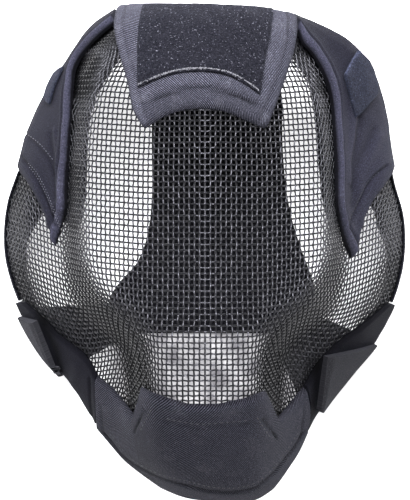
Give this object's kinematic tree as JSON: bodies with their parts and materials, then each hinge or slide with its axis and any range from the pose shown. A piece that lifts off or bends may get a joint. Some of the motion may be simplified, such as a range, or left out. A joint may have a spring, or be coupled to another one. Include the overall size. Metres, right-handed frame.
{
  "type": "fencing-style full-face wire mask",
  "caption": "Full-face mask of pressed black wire mesh with padded cloth brow, temple bands, jaw covers, chin cup and a cloth panel behind the head.",
  "frame": {"origin": "centre of the mask's outline on the surface that it rests on, face up", "axes": "+X to the right as seen from the front, +Y towards the crown, +Z out of the face"},
  "size_m": [0.2281, 0.2681, 0.1436],
  "materials": {
    "steel_wire": "black powder coat, semi-gloss",
    "twill": "black twill, matt",
    "smooth_cloth": "black tightly woven cloth, matt with a faint sheen",
    "loop_pile": "fuzzy black loop pile",
    "binding_tape": "black binding tape, matt"
  },
  "bodies": {
    "root": {"wire_mesh": "steel_wire", "forehead_pad": "twill", "forehead_loop": "loop_pile", "side_band_left": "smooth_cloth", "side_band_right": "smooth_cloth", "side_loop_left": "loop_pile", "side_loop_right": "loop_pile", "ear_edge_left": "binding_tape", "ear_edge_right": "binding_tape", "jaw_left": "smooth_cloth", "jaw_right": "smooth_cloth", "chin_cup": "twill", "head_panel": "smooth_cloth", "strap_left": "smooth_cloth", "strap_right": "smooth_cloth"}
  },
  "joints": []
}
